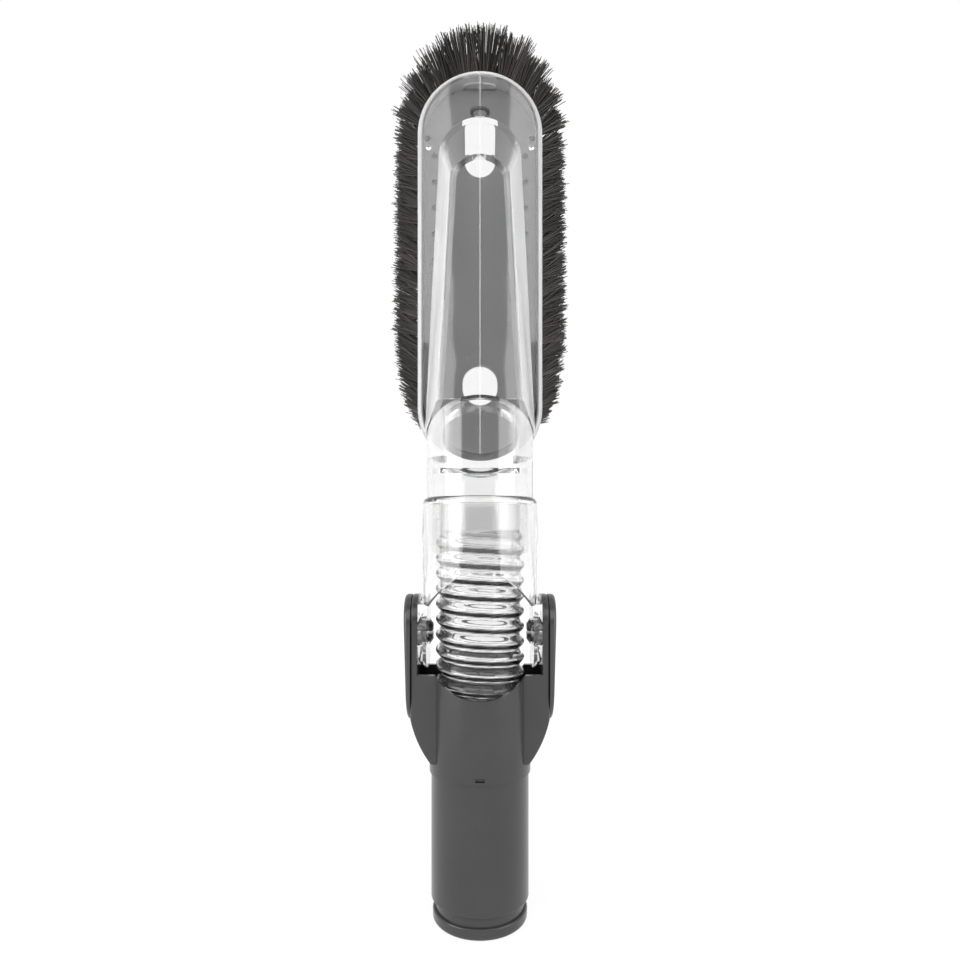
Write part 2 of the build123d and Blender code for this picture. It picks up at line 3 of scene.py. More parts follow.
import bpy
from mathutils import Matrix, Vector


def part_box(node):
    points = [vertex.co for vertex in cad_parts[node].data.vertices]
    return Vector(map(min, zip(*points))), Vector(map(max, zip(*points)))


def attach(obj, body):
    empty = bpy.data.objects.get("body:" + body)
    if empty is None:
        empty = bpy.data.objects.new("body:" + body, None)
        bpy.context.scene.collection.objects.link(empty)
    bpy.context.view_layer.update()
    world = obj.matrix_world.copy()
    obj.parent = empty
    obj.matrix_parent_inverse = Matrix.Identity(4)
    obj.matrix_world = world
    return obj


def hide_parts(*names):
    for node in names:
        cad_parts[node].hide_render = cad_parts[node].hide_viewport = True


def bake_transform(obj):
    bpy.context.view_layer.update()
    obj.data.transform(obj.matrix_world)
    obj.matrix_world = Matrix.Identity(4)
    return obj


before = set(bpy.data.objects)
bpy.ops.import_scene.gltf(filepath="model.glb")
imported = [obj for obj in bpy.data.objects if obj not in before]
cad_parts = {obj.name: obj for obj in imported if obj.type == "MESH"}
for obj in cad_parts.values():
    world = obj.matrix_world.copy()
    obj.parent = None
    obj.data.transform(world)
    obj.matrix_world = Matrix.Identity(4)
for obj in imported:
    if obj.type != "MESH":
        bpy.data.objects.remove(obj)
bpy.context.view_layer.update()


# Spigot tube.
# A moulded sleeve in dark grey plastic that pushes into the vacuum's wand. Its lower end has a turned
# groove and a rounded lip, and its satin face has the faint cloud and fine grain of the mould.
def grey_moulding(name, dark, light, roughness, grain):
    """Satin moulded plastic: cloudy grey with a fine grain and a roughness that wanders."""
    finish = bpy.data.materials.new(name)
    finish.use_nodes = True
    tree = finish.node_tree
    shader = tree.nodes["Principled BSDF"]
    place = tree.nodes.new("ShaderNodeTexCoord")
    cloud = tree.nodes.new("ShaderNodeTexNoise")
    cloud.inputs["Scale"].default_value = 55.0
    cloud.inputs["Detail"].default_value = 4.0
    tint = tree.nodes.new("ShaderNodeValToRGB")
    tint.color_ramp.elements[0].position = 0.3
    tint.color_ramp.elements[0].color = (*dark, 1)
    tint.color_ramp.elements[1].position = 0.7
    tint.color_ramp.elements[1].color = (*light, 1)
    wander = tree.nodes.new("ShaderNodeMapRange")
    wander.inputs["To Min"].default_value = roughness - 0.05
    wander.inputs["To Max"].default_value = roughness + 0.05
    pores = tree.nodes.new("ShaderNodeTexNoise")
    pores.inputs["Scale"].default_value = 2600.0
    pores.inputs["Detail"].default_value = 2.0
    bump = tree.nodes.new("ShaderNodeBump")
    bump.inputs["Strength"].default_value = grain
    bump.inputs["Distance"].default_value = 0.00006
    link = tree.links.new
    link(place.outputs["Object"], cloud.inputs["Vector"])
    link(place.outputs["Object"], pores.inputs["Vector"])
    link(cloud.outputs["Fac"], tint.inputs["Fac"])
    link(tint.outputs["Color"], shader.inputs["Base Color"])
    link(cloud.outputs["Fac"], wander.inputs["Value"])
    link(wander.outputs["Result"], shader.inputs["Roughness"])
    link(pores.outputs["Fac"], bump.inputs["Height"])
    link(bump.outputs["Normal"], shader.inputs["Normal"])
    return finish


def dress(node, finish):
    """Gives a CAD node its finish."""
    node.data.materials.clear()
    node.data.materials.append(finish)


collar_grey = grey_moulding("collar_grey", (0.032, 0.032, 0.033), (0.038, 0.038, 0.039), 0.24, 0.16)
dress(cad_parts["spigot_tube"], collar_grey)


# Yoke.
# The fork that carries the head: a barrel glued over the spigot's stem, with two flared wings and two
# ears, all one moulding in the same grey.
dress(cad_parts["yoke"], collar_grey)


# Pivot caps.
# Long pads on the outside of the ears. Each has a split snap pin that clicks through the ear and the
# head's arm, so the pair makes the hinge.
# Painted light: the caps get a slightly lighter copy of the collar's grey, standing in for the light their
# bevelled faces catch
cap_grey_lit = grey_moulding("cap_grey_lit", (0.037, 0.037, 0.038), (0.043, 0.043, 0.044), 0.22, 0.16)
dress(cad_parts["pivot_cap_left"], cap_grey_lit)
dress(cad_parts["pivot_cap_right"], cap_grey_lit)


# Hose and its lower cuff.
# A short clear hose runs through the hinge, so air can pass at any angle. Its soft wall is wound with a
# left-handed spiral rib. The grey cuff holds its lower end in the yoke.
dress(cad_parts["hose_lower_cuff"], collar_grey)


def clear_moulding(name, tint, haze, roughness, ior, ripple):
    """Clear plastic with a faint flow ripple and a gloss that wanders."""
    finish = bpy.data.materials.new(name)
    finish.use_nodes = True
    tree = finish.node_tree
    shader = tree.nodes["Principled BSDF"]
    shader.inputs["Transmission Weight"].default_value = 1.0 - haze
    shader.inputs["IOR"].default_value = ior
    place = tree.nodes.new("ShaderNodeTexCoord")
    flow = tree.nodes.new("ShaderNodeTexNoise")
    flow.inputs["Scale"].default_value = 70.0
    flow.inputs["Detail"].default_value = 1.0
    shade = tree.nodes.new("ShaderNodeValToRGB")
    shade.color_ramp.elements[0].color = (*[0.985 * v for v in tint], 1)
    shade.color_ramp.elements[1].color = (*tint, 1)
    wander = tree.nodes.new("ShaderNodeMapRange")
    wander.inputs["To Min"].default_value = 0.5 * roughness
    wander.inputs["To Max"].default_value = 1.5 * roughness
    bump = tree.nodes.new("ShaderNodeBump")
    bump.inputs["Strength"].default_value = ripple
    bump.inputs["Distance"].default_value = 0.0002
    link = tree.links.new
    link(place.outputs["Object"], flow.inputs["Vector"])
    link(flow.outputs["Fac"], shade.inputs["Fac"])
    link(shade.outputs["Color"], shader.inputs["Base Color"])
    link(flow.outputs["Fac"], wander.inputs["Value"])
    link(wander.outputs["Result"], shader.inputs["Roughness"])
    link(flow.outputs["Fac"], bump.inputs["Height"])
    link(bump.outputs["Normal"], shader.inputs["Normal"])
    return finish


clear_vinyl = clear_moulding("clear_vinyl", (0.95, 0.95, 0.95), 0.02, 0.03, 1.5, 0.1)
vinyl = clear_vinyl.node_tree
tint = vinyl.nodes["Principled BSDF"].inputs["Base Color"]
# Painted shade in the grooves: the tint goes near black where the hose's tree stored the groove band
groove_shade_input = vinyl.nodes.new("ShaderNodeAttribute")
groove_shade_input.attribute_name = "groove_shade"
facing = vinyl.nodes.new("ShaderNodeNewGeometry")
# Painted shade: a dark band in each groove stands in for the shade there, drawn from outside only, so the far
# side of the hose stays clear
outward_face = vinyl.nodes.new("ShaderNodeMath")
outward_face.operation = "SUBTRACT"
outward_face.inputs[0].default_value = 1.0
groove_shade_share = vinyl.nodes.new("ShaderNodeMath")
groove_shade_share.operation = "MULTIPLY"
groove_shaded_tint = vinyl.nodes.new("ShaderNodeMix")
groove_shaded_tint.data_type = "RGBA"
groove_shaded_tint.inputs["B"].default_value = (0.0012, 0.0012, 0.0012, 1)
for start, end in (
    (facing.outputs["Backfacing"], outward_face.inputs[1]),
    (outward_face.outputs[0], groove_shade_share.inputs[0]),
    (groove_shade_input.outputs["Fac"], groove_shade_share.inputs[1]),
    (groove_shade_share.outputs[0], groove_shaded_tint.inputs["Factor"]),
    (tint.links[0].from_socket, groove_shaded_tint.inputs["A"]),
    (groove_shaded_tint.outputs["Result"], tint),
):
    vinyl.links.new(start, end)


def lay(tree, kind, inputs=None, **settings):
    """Adds one node to a tree. An input is either a value or the socket that feeds it."""
    made = tree.nodes.new(kind)
    for name, value in settings.items():
        setattr(made, name, value)
    for name, value in (inputs or {}).items():
        if isinstance(value, bpy.types.NodeSocket):
            tree.links.new(value, made.inputs[name])
        else:
            made.inputs[name].default_value = value
    return made


def sum_of(tree, operation, first, second=0.0):
    """One step of arithmetic in a tree."""
    return lay(tree, "ShaderNodeMath", {0: first, 1: second}, operation=operation).outputs[0]


def shape_tree(name, inputs):
    """An empty tree of shape nodes with named inputs, each a kind and a value."""
    tree = bpy.data.node_groups.new(name, "GeometryNodeTree")
    tree.interface.new_socket("Geometry", in_out="INPUT", socket_type="NodeSocketGeometry")
    tree.interface.new_socket("Geometry", in_out="OUTPUT", socket_type="NodeSocketGeometry")
    for label, (kind, value) in inputs.items():
        made = tree.interface.new_socket(label, in_out="INPUT", socket_type=kind)
        made.default_value = value
    return tree, tree.nodes.new("NodeGroupInput"), tree.nodes.new("NodeGroupOutput")


def grow(piece, tree, values):
    """Runs a tree on a piece, sets its inputs by identifier, and keeps the result as a plain mesh."""
    modifier = piece.modifiers.new(tree.name, "NODES")
    modifier.node_group = tree
    for socket in tree.interface.items_tree:
        if socket.item_type == "SOCKET" and socket.name in values:
            modifier[socket.identifier] = values[socket.name]
    bpy.context.view_layer.update()
    grown = piece.evaluated_get(bpy.context.evaluated_depsgraph_get())
    mesh = bpy.data.meshes.new_from_object(grown)
    piece.modifiers.clear()
    piece.data = mesh
    mesh.name = piece.name
    return piece


mm = 0.001
hose_low, hose_high = (corner.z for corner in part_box("hose"))
hose_sizes = {
    "Bore radius": ("NodeSocketFloat", 12.5 * mm),
    "Wall": ("NodeSocketFloat", 0.55 * mm),
    "Rib height": ("NodeSocketFloat", 1.55 * mm),
    "Inner share": ("NodeSocketFloat", 0.0),
    "Pitch": ("NodeSocketFloat", 5.0 * mm),
    "Start": ("NodeSocketFloat", hose_low),
    "Length": ("NodeSocketFloat", hose_high - hose_low),
    "Tail": ("NodeSocketFloat", 8.0 * mm),
    "Sides": ("NodeSocketInt", 144),
    "Steps": ("NodeSocketInt", 224),
}
hose_tree, given, handed = shape_tree("spiral_hose", hose_sizes)
size = given.outputs
columns = sum_of(hose_tree, "ADD", size["Sides"], 1)
rows = sum_of(hose_tree, "MULTIPLY_ADD", size["Steps"], 2)
hose_tree.nodes[-1].inputs[2].default_value = 3
skin = lay(
    hose_tree,
    "GeometryNodeMeshGrid",
    {"Size X": 1.0, "Size Y": 1.0, "Vertices X": columns, "Vertices Y": rows},
)
flat = lay(hose_tree, "ShaderNodeSeparateXYZ", {0: lay(hose_tree, "GeometryNodeInputPosition").outputs[0]})
round_share = sum_of(hose_tree, "ADD", flat.outputs["X"], 0.5)
row_share = sum_of(hose_tree, "ADD", flat.outputs["Y"], 0.5)
row = sum_of(hose_tree, "MULTIPLY", row_share, sum_of(hose_tree, "SUBTRACT", rows, 1))
row = sum_of(hose_tree, "ROUND", row)
# Rows run up the outside, over the rim, down the bore and back to the start
turn_row = sum_of(hose_tree, "ADD", size["Steps"], 0.5)
from_turn = sum_of(hose_tree, "ABSOLUTE", sum_of(hose_tree, "SUBTRACT", row, turn_row))
rise = sum_of(hose_tree, "DIVIDE", sum_of(hose_tree, "SUBTRACT", turn_row, from_turn), size["Steps"])
rise = sum_of(hose_tree, "MAXIMUM", rise, 0)
last_row = sum_of(hose_tree, "SUBTRACT", rows, 1.5)
inside = sum_of(
    hose_tree,
    "MULTIPLY",
    sum_of(hose_tree, "GREATER_THAN", row, turn_row),
    sum_of(hose_tree, "LESS_THAN", row, last_row),
)
along = sum_of(hose_tree, "MULTIPLY", rise, size["Length"])
# The spiral falls as it goes round, so it is left-handed
phase = sum_of(hose_tree, "ADD", sum_of(hose_tree, "DIVIDE", along, size["Pitch"]), round_share)
phase = sum_of(hose_tree, "MULTIPLY", phase, 2 * pi)
wave = sum_of(hose_tree, "COSINE", phase)
swell = sum_of(hose_tree, "MULTIPLY", sum_of(hose_tree, "ADD", wave, 1), 0.5)
swell = sum_of(hose_tree, "POWER", swell, 0.7)
to_end = sum_of(hose_tree, "MINIMUM", along, sum_of(hose_tree, "SUBTRACT", size["Length"], along))
fade = lay(
    hose_tree,
    "ShaderNodeMapRange",
    {"Value": to_end, "From Min": size["Tail"], "From Max": sum_of(hose_tree, "MULTIPLY", size["Tail"], 1.4)},
    interpolation_type="SMOOTHSTEP",
).outputs["Result"]
rib = sum_of(hose_tree, "MULTIPLY", sum_of(hose_tree, "MULTIPLY", swell, size["Rib height"]), fade)
outer = sum_of(hose_tree, "ADD", sum_of(hose_tree, "ADD", size["Bore radius"], size["Wall"]), rib)
bore = sum_of(hose_tree, "ADD", size["Bore radius"], sum_of(hose_tree, "MULTIPLY", rib, size["Inner share"]))
step_in = sum_of(hose_tree, "MULTIPLY", sum_of(hose_tree, "SUBTRACT", bore, outer), inside)
radius = sum_of(hose_tree, "ADD", outer, step_in)
angle = sum_of(hose_tree, "MULTIPLY", round_share, 2 * pi)
wound = lay(
    hose_tree,
    "ShaderNodeCombineXYZ",
    {
        "X": sum_of(hose_tree, "MULTIPLY", radius, sum_of(hose_tree, "COSINE", angle)),
        "Y": sum_of(hose_tree, "MULTIPLY", radius, sum_of(hose_tree, "SINE", angle)),
        "Z": sum_of(hose_tree, "ADD", along, size["Start"]),
    },
)
placed = lay(
    hose_tree,
    "GeometryNodeSetPosition",
    {"Geometry": skin.outputs["Mesh"], "Position": wound.outputs[0]},
)
closed = lay(hose_tree, "GeometryNodeMergeByDistance", {"Geometry": placed.outputs[0], "Distance": 0.01 * mm})
# Painted shade: a dark band under each rib, on the outside of the wall, stands in for the shade in the groove
under_rib = sum_of(hose_tree, "COSINE", sum_of(hose_tree, "ADD", phase, 1.7))
groove_shade = lay(
    hose_tree,
    "ShaderNodeMapRange",
    {"Value": under_rib, "From Min": 0.38, "From Max": 0.62},
    interpolation_type="SMOOTHSTEP",
).outputs["Result"]
outside = sum_of(hose_tree, "SUBTRACT", 1.0, inside)
groove_shade = sum_of(hose_tree, "MULTIPLY", sum_of(hose_tree, "MULTIPLY", groove_shade, fade), outside)
groove_shade_stored = lay(
    hose_tree,
    "GeometryNodeStoreNamedAttribute",
    {"Geometry": skin.outputs["Mesh"], "Name": "groove_shade", "Value": groove_shade},
    data_type="FLOAT",
    domain="POINT",
)
hose_tree.links.new(groove_shade_stored.outputs[0], placed.inputs["Geometry"])
smooth = lay(hose_tree, "GeometryNodeSetShadeSmooth", {"Geometry": closed.outputs[0]})
whole = lay(hose_tree, "GeometryNodeRealizeInstances", {"Geometry": smooth.outputs[0]})
dressed = lay(hose_tree, "GeometryNodeSetMaterial", {"Geometry": whole.outputs[0], "Material": clear_vinyl})
hose_tree.links.new(dressed.outputs[0], handed.inputs["Geometry"])

spiral_hose = bpy.data.objects.new("spiral_hose", bpy.data.meshes.new("spiral_hose"))
bpy.context.scene.collection.objects.link(spiral_hose)
grow(spiral_hose, hose_tree, {label: value for label, (kind, value) in hose_sizes.items()})
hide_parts("hose")
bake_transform(spiral_hose)


# Upper cuff.
# A thin sleeve in clear acrylic round the hose's upper end. It is glued into the neck of the head, so
# the hose turns with it.
clear_acrylic = clear_moulding("clear_acrylic", (0.985, 0.987, 0.985), 0.025, 0.03, 1.49, 0.12)
dress(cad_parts["hose_upper_cuff"], clear_acrylic)


# Head cover.
# One clear moulding: an oval dish with a raised tapered spine, the round neck, the bell over the joint
# and the two hinge arms.
clear_cover = clear_acrylic.copy()
clear_cover.name = "clear_cover"
cover = clear_cover.node_tree
whereabouts = lay(cover, "ShaderNodeTexCoord").outputs
spot = lay(cover, "ShaderNodeSeparateXYZ", {0: whereabouts["Object"]}).outputs
slope = lay(cover, "ShaderNodeSeparateXYZ", {0: whereabouts["Normal"]}).outputs
# The dish's side wall is frosted: its distance from the oval's middle line says where it starts
middle = lay(cover, "ShaderNodeClamp", {"Value": spot["Z"], "Min": 0.167, "Max": 0.2572}).outputs[0]
past_end = sum_of(cover, "SUBTRACT", spot["Z"], middle)


def reach_of(tree, across, up):
    """Distance from a point, given as two lengths at right angles."""
    squares = [sum_of(tree, "MULTIPLY", side, side) for side in (across, up)]
    return sum_of(tree, "SQRT", sum_of(tree, "ADD", *squares))


off_middle = reach_of(cover, spot["X"], past_end)
wall = lay(
    cover,
    "ShaderNodeMapRange",
    {"Value": off_middle, "From Min": 0.0184, "From Max": 0.0196},
    interpolation_type="SMOOTHSTEP",
).outputs["Result"]
in_dish = sum_of(cover, "GREATER_THAN", spot["Z"], 0.15)
# The mould's halves leave a hairline down the middle of the dish and its spine
hairline = lay(
    cover,
    "ShaderNodeMapRange",
    {
        "Value": sum_of(cover, "ABSOLUTE", spot["X"]),
        "From Min": 0.00006,
        "From Max": 0.00016,
        "To Min": 0.7,
        "To Max": 0.0,
    },
    interpolation_type="SMOOTHSTEP",
).outputs["Result"]
# The spine's flanks come out of the mould along the pull, so they are dull too
flank = lay(
    cover,
    "ShaderNodeMapRange",
    {"Value": sum_of(cover, "ABSOLUTE", slope["X"]), "From Min": 0.45, "From Max": 0.75, "To Max": 0.85},
    interpolation_type="SMOOTHSTEP",
).outputs["Result"]
flank = sum_of(cover, "MULTIPLY", flank, sum_of(cover, "LESS_THAN", spot["Y"], -0.0012))
dull = sum_of(cover, "MAXIMUM", sum_of(cover, "MAXIMUM", wall, hairline), flank)
dull = sum_of(cover, "MULTIPLY", dull, in_dish)
frost = lay(
    cover,
    "ShaderNodeMapRange",
    {"Value": dull, "To Min": 0.975, "To Max": 0.5},
).outputs["Result"]
cover.links.new(frost, cover.nodes["Principled BSDF"].inputs["Transmission Weight"])
# The gate's mark near the toe gets a painted shade ring, standing in for the dark edge of its small dome in the
# clear plastic
gate_half_width, gate_half_height, gate_height = 2.9 * mm, 1.6 * mm, 263.8 * mm
gate_x = sum_of(cover, "DIVIDE", spot["X"], gate_half_width)
gate_z = sum_of(cover, "DIVIDE", sum_of(cover, "SUBTRACT", spot["Z"], gate_height), gate_half_height)
from_rim = sum_of(cover, "SUBTRACT", reach_of(cover, gate_x, gate_z), 0.95)
gate_edge_shade = lay(
    cover,
    "ShaderNodeMapRange",
    {
        "Value": sum_of(cover, "ABSOLUTE", from_rim),
        "From Min": 0.1,
        "From Max": 0.25,
        "To Min": 0.85,
        "To Max": 0.0,
    },
).outputs["Result"]


def darken(tree, share, colour):
    """Takes the surface colour towards a darker one where the share says so."""
    surface = tree.nodes["Principled BSDF"].inputs["Base Color"]
    mixed = lay(tree, "ShaderNodeMix", data_type="RGBA")
    mixed.inputs["B"].default_value = (*colour, 1)
    tree.links.new(share, mixed.inputs["Factor"])
    tree.links.new(surface.links[0].from_socket, mixed.inputs["A"])
    tree.links.new(mixed.outputs["Result"], surface)


# Painted shade round the gate's mark
darken(cover, gate_edge_shade, (0.06, 0.06, 0.06))
dress(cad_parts["head_cover"], clear_cover)


# Brush plate.
# A sole plate moulded in a paler grey that clips into the dish by a tongue at the toe. It has two suction
# slots and a bevelled rail for the tufts.
plate_grey = grey_moulding("plate_grey", (0.185, 0.182, 0.188), (0.205, 0.201, 0.208), 0.45, 0.35)
# Small pits on its inner face, one row on each side, get painted shade: a dark spot stands in for the shade
# inside each pit
pit_row, pit_middle, pit_pitch, pit_rows_half = 15.2 * mm, 217.75 * mm, 8.7 * mm, 39 * mm
sole = plate_grey.node_tree
spot = lay(sole, "ShaderNodeSeparateXYZ", {0: lay(sole, "ShaderNodeTexCoord").outputs["Object"]}).outputs
from_row = sum_of(sole, "SUBTRACT", sum_of(sole, "ABSOLUTE", spot["X"]), pit_row)
up_row = sum_of(sole, "SUBTRACT", spot["Z"], pit_middle)
from_pit = lay(sole, "ShaderNodeMath", {0: up_row, 1: -pit_pitch / 2, 2: pit_pitch / 2}, operation="WRAP")
pit_shade = lay(
    sole,
    "ShaderNodeMapRange",
    {
        "Value": reach_of(sole, from_row, from_pit.outputs[0]),
        "From Min": 0.0009,
        "From Max": 0.00115,
        "To Min": 0.8,
        "To Max": 0.0,
    },
).outputs["Result"]
inner_face = sum_of(sole, "LESS_THAN", spot["Y"], 5.8 * mm)
along_row = sum_of(sole, "LESS_THAN", sum_of(sole, "ABSOLUTE", up_row), pit_rows_half)
# Painted shade in the pits
darken(sole, sum_of(sole, "MULTIPLY", sum_of(sole, "MULTIPLY", pit_shade, inner_face), along_row), (0.03, 0.03, 0.03))
dress(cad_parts["brush_plate"], plate_grey)


# Bristle tufts.
# Two staggered rows of dark filaments, folded over a flat wire and punched into the rail. They lean
# outwards and towards the toe, and their tips are ragged.
bristle_dark = grey_moulding("bristle_dark", (0.008, 0.0074, 0.0072), (0.062, 0.055, 0.051), 0.4, 0.1)
filament = bristle_dark.node_tree
each = filament.nodes.new("ShaderNodeNewGeometry")
# Each filament gets its own tone, from near black to a lighter brownish grey: partly the filaments' own random
# tone, partly painted glints
tone_and_glint = lay(
    filament,
    "ShaderNodeMapRange",
    {"Value": each.outputs["Random Per Island"], "To Min": 0.1, "To Max": 0.9},
)
filament.links.new(tone_and_glint.outputs["Result"], filament.nodes["Color Ramp"].inputs["Fac"])
toe_centre, heel_centre, tuft_count = 257.2, 171.3, 46


def tuft_seats(half_width, depth, splay, rake, sink, lead, length, toe_length):
    """Seats of one row from heel to heel round the toe: place, way, run of the row and length, in mm."""
    heel_run = half_width * 0.6
    side_run = heel_run + toe_centre - heel_centre
    whole = 2 * side_run + pi * half_width
    seats = []
    for number in range(tuft_count):
        along = whole * (number + lead) / tuft_count
        side = -1 if along < whole / 2 else 1
        climb = min(along, whole - along)
        if climb < heel_run:
            turn, height = climb / half_width - 0.6, heel_centre
        elif climb < side_run:
            turn, height = 0, heel_centre + climb - heel_run
        else:
            turn, height = (climb - side_run) / half_width, toe_centre
        outward = Vector((side * cos(turn), 0, sin(turn)))
        toe_share = max(outward.z, 0) ** 2
        lean = rake * (0.8 + 0.2 * min(climb / side_run, 1))
        spread = splay * (0.5 + 0.5 * min(climb / 30, 1))
        away = sink * (1 - 0.55 * toe_share)
        way = (outward * spread + Vector((0, away, lean))).normalized()
        run = outward.cross(Vector((0, 1, 0)))
        place = outward * half_width + Vector((0, depth, height))
        seats.append((place, way, run, length + (toe_length - length) * max(outward.z, 0) ** 1.5))
    return seats


tuft_sizes = {
    "Filaments": ("NodeSocketInt", 150),
    "Root radius": ("NodeSocketFloat", 1.05 * mm),
    "Thickness": ("NodeSocketFloat", 0.18 * mm),
    "Spread": ("NodeSocketFloat", 0.06),
    "Fan": ("NodeSocketFloat", 0.2),
    "Shortest": ("NodeSocketFloat", 0.94),
    "Longest": ("NodeSocketFloat", 1.0),
    "Curl": ("NodeSocketFloat", 0.45 * mm),
    "Seed": ("NodeSocketInt", 7),
}
tuft_tree, given, handed = shape_tree("filament_tufts", tuft_sizes)
size = given.outputs
# One filament: a thin three-sided taper, one unit long, that keeps its share of the length
stem = lay(tuft_tree, "GeometryNodeCurvePrimitiveLine", {"Start": (0, 0, 0), "End": (0, 0, 1)})
stem = lay(tuft_tree, "GeometryNodeResampleCurve", {"Curve": stem.outputs[0], "Count": 5})
share = lay(tuft_tree, "GeometryNodeSplineParameter").outputs["Factor"]
taper = lay(tuft_tree, "ShaderNodeMapRange", {"Value": share, "To Min": 1.0, "To Max": 0.75}).outputs["Result"]
section = lay(tuft_tree, "GeometryNodeCurvePrimitiveCircle", {"Resolution": 3, "Radius": 1.0})
blade = lay(
    tuft_tree,
    "GeometryNodeCurveToMesh",
    {"Curve": stem.outputs[0], "Profile Curve": section.outputs[0], "Scale": taper, "Fill Caps": True},
)
height = lay(tuft_tree, "ShaderNodeSeparateXYZ", {0: lay(tuft_tree, "GeometryNodeInputPosition").outputs[0]})
blade = lay(
    tuft_tree,
    "GeometryNodeStoreNamedAttribute",
    {"Geometry": blade.outputs[0], "Name": "share", "Value": height.outputs["Z"]},
    data_type="FLOAT",
    domain="POINT",
)
# The tuft: many roots in one hole, each filament leaning out from the tuft's own way
roots = lay(tuft_tree, "GeometryNodeMeshToPoints", {"Mesh": size["Geometry"]})
roots = lay(
    tuft_tree,
    "GeometryNodeDuplicateElements",
    {"Geometry": roots.outputs[0], "Amount": size["Filaments"]},
    domain="POINT",
)
way = lay(tuft_tree, "GeometryNodeInputNamedAttribute", {"Name": "way"}, data_type="FLOAT_VECTOR").outputs[0]
reach = lay(tuft_tree, "GeometryNodeInputNamedAttribute", {"Name": "reach"}, data_type="FLOAT").outputs[0]
index = lay(tuft_tree, "GeometryNodeInputIndex").outputs[0]


def chance(low, high, extra, kind="FLOAT_VECTOR"):
    """A random value for each filament."""
    made = lay(tuft_tree, "FunctionNodeRandomValue", data_type=kind)
    slots = {"FLOAT_VECTOR": (0, 1, 0), "FLOAT": (2, 3, 1)}[kind]
    for slot, value in zip(slots[:2], (low, high)):
        if isinstance(value, bpy.types.NodeSocket):
            tuft_tree.links.new(value, made.inputs[slot])
        else:
            made.inputs[slot].default_value = value
    tuft_tree.links.new(index, made.inputs["ID"])
    tuft_tree.links.new(sum_of(tuft_tree, "ADD", size["Seed"], extra), made.inputs["Seed"])
    return made.outputs[slots[2]]


def turned(operation, first, second=(0, 0, 0), scale=None):
    """One step of vector arithmetic in the tuft's tree."""
    made = lay(tuft_tree, "ShaderNodeVectorMath", {0: first, 1: second}, operation=operation)
    if scale is not None:
        tuft_tree.links.new(scale, made.inputs["Scale"])
    return made.outputs[0]


off_axis = turned("CROSS_PRODUCT", way, chance((-1, -1, -1), (1, 1, 1), 0))
run = lay(tuft_tree, "GeometryNodeInputNamedAttribute", {"Name": "run"}, data_type="FLOAT_VECTOR").outputs[0]
fan_share = chance(-1.0, 1.0, 3, "FLOAT")
fanned = turned("SCALE", run, scale=fan_share)
offset = turned("ADD", turned("MULTIPLY", off_axis, (0.5, 0.5, 0.5)), fanned)
offset = turned("SCALE", offset, scale=size["Root radius"])
roots = lay(tuft_tree, "GeometryNodeSetPosition", {"Geometry": roots.outputs[0], "Offset": offset})
roots = lay(
    tuft_tree,
    "GeometryNodeStoreNamedAttribute",
    {"Geometry": roots.outputs[0], "Name": "curl", "Value": chance((-1, -1, -1), (1, 1, 1), 1)},
    data_type="FLOAT_VECTOR",
    domain="POINT",
)
lean = turned("ADD", way, turned("SCALE", off_axis, scale=size["Spread"]))
lean = turned("ADD", lean, turned("SCALE", fanned, scale=size["Fan"]))
stand = lay(tuft_tree, "FunctionNodeAlignRotationToVector", {"Vector": lean}, axis="Z")
long_share = chance(size["Shortest"], size["Longest"], 2, "FLOAT")
stretch = lay(
    tuft_tree,
    "ShaderNodeCombineXYZ",
    {"X": size["Thickness"], "Y": size["Thickness"], "Z": sum_of(tuft_tree, "MULTIPLY", reach, long_share)},
)
planted = lay(
    tuft_tree,
    "GeometryNodeInstanceOnPoints",
    {
        "Points": roots.outputs[0],
        "Instance": blade.outputs[0],
        "Rotation": stand.outputs[0],
        "Scale": stretch.outputs[0],
    },
)
loose = lay(tuft_tree, "GeometryNodeRealizeInstances", {"Geometry": planted.outputs[0]})
share = lay(tuft_tree, "GeometryNodeInputNamedAttribute", {"Name": "share"}, data_type="FLOAT").outputs[0]
curl = lay(tuft_tree, "GeometryNodeInputNamedAttribute", {"Name": "curl"}, data_type="FLOAT_VECTOR").outputs[0]
bend = sum_of(tuft_tree, "MULTIPLY", sum_of(tuft_tree, "POWER", share, 2), size["Curl"])
curled = lay(
    tuft_tree,
    "GeometryNodeSetPosition",
    {"Geometry": loose.outputs[0], "Offset": turned("SCALE", curl, scale=bend)},
)
soft_shade = lay(tuft_tree, "GeometryNodeSetShadeSmooth", {"Geometry": curled.outputs[0]})
whole = lay(tuft_tree, "GeometryNodeRealizeInstances", {"Geometry": soft_shade.outputs[0]})
dressed = lay(tuft_tree, "GeometryNodeSetMaterial", {"Geometry": whole.outputs[0], "Material": bristle_dark})
tuft_tree.links.new(dressed.outputs[0], handed.inputs["Geometry"])

